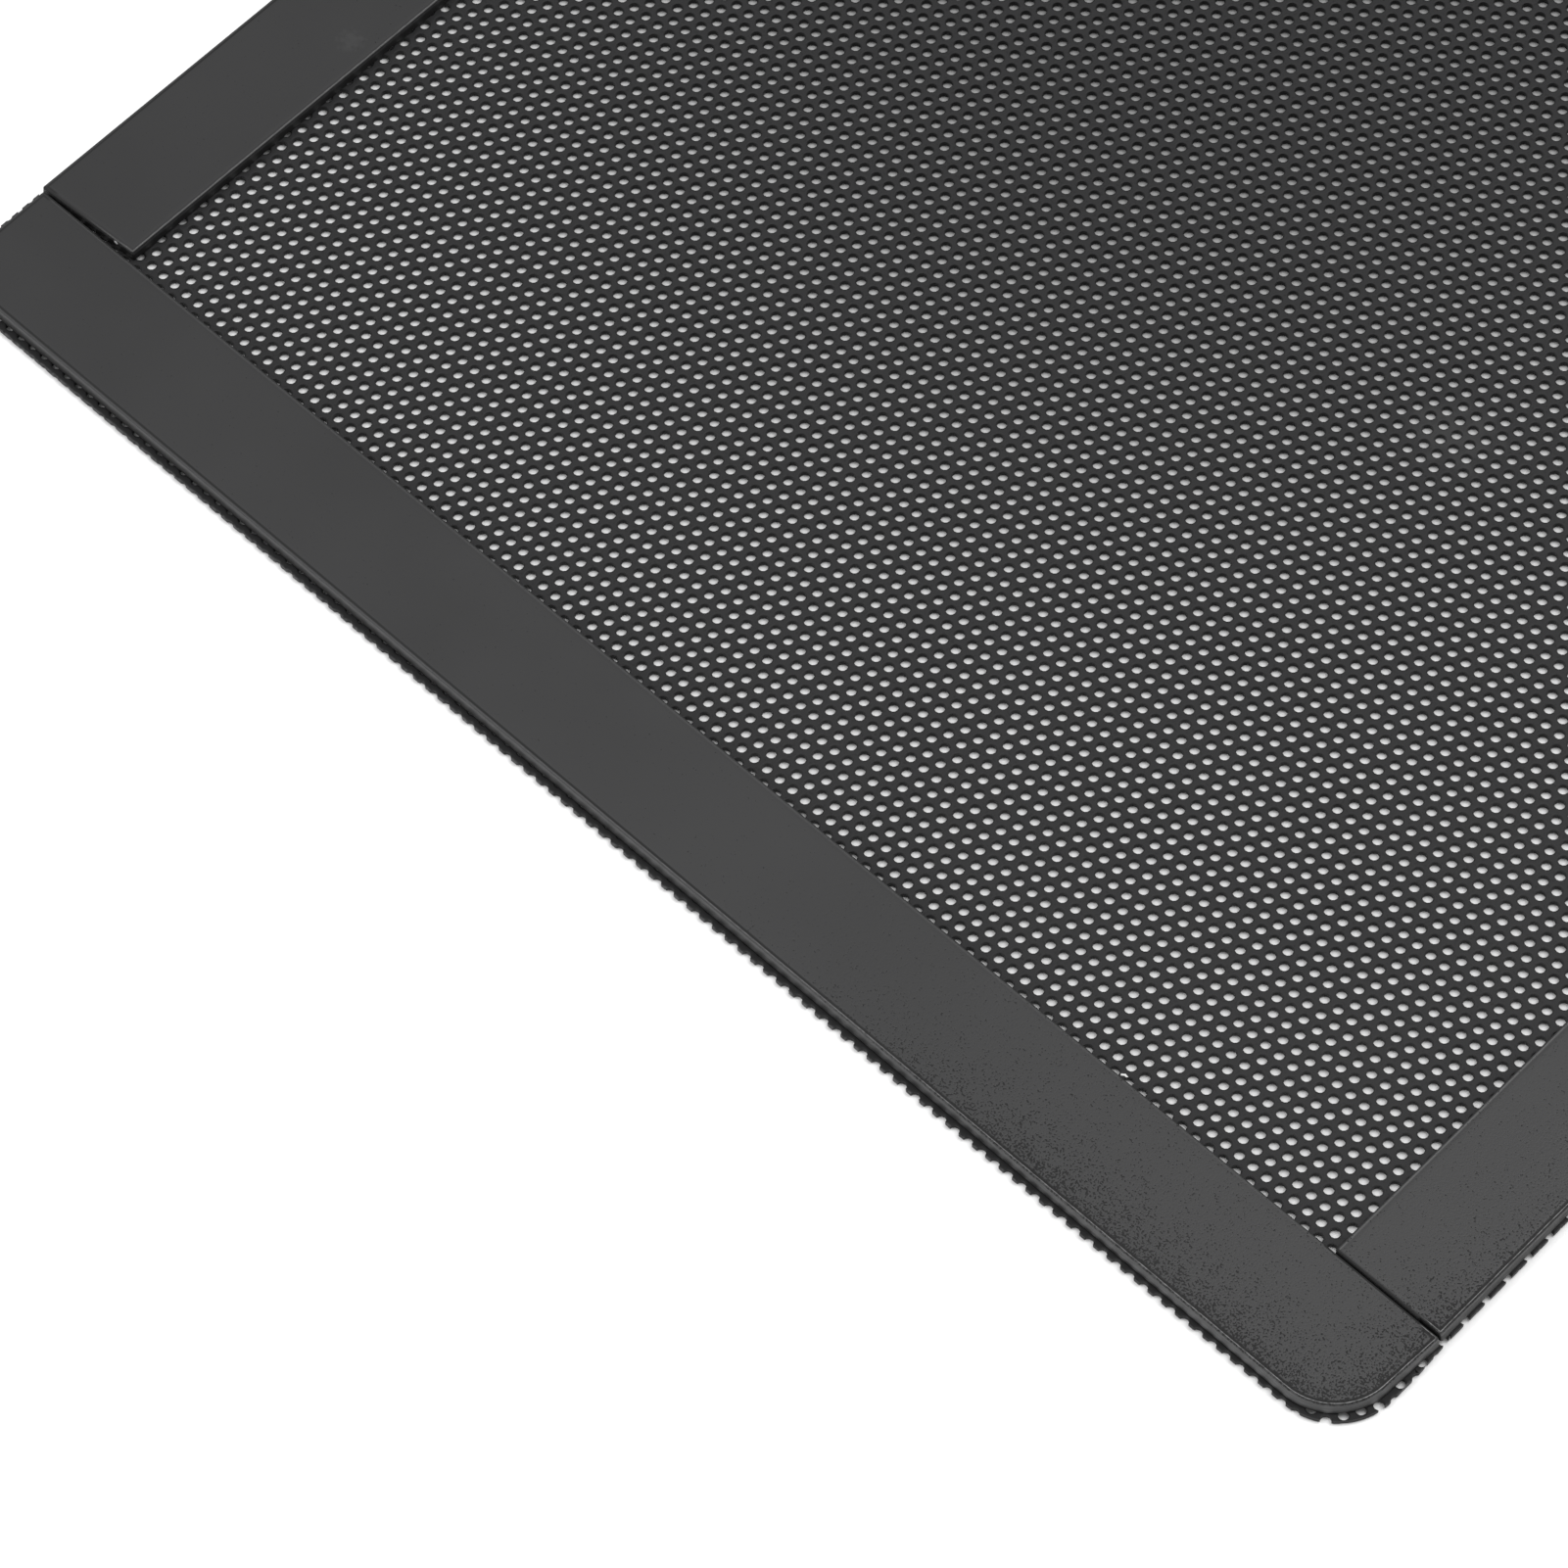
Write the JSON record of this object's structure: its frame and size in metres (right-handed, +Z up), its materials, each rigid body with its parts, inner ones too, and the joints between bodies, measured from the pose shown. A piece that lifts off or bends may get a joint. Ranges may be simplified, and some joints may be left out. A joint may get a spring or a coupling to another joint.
{
  "type": "fan dust filter",
  "caption": "Square magnetic dust filter: a thin perforated vinyl sheet with rounded corners, framed by magnet strips with a grained vinyl face.",
  "frame": {"origin": "centre of the sheet's underside", "axes": "+Z up out of the strips' vinyl faces, X along the front strip, Y from the front strip to the rear strip"},
  "size_m": [0.1396, 0.14, 0.0016],
  "materials": {
    "perforated_vinyl": "semi-matt punched PVC film",
    "grained_vinyl": "matt with a fine pebbled grain",
    "ferrite_rubber": "matt slit edge",
    "adhesive": "dull transfer tape"
  },
  "bodies": {
    "root": {"mesh_sheet": "perforated_vinyl", "front_adhesive": "adhesive", "front_magnet": "ferrite_rubber", "front_vinyl_face": "grained_vinyl", "rear_adhesive": "adhesive", "rear_magnet": "ferrite_rubber", "rear_vinyl_face": "grained_vinyl", "left_adhesive": "adhesive", "left_magnet": "ferrite_rubber", "left_vinyl_face": "grained_vinyl", "right_adhesive": "adhesive", "right_magnet": "ferrite_rubber", "right_vinyl_face": "grained_vinyl"}
  },
  "joints": []
}
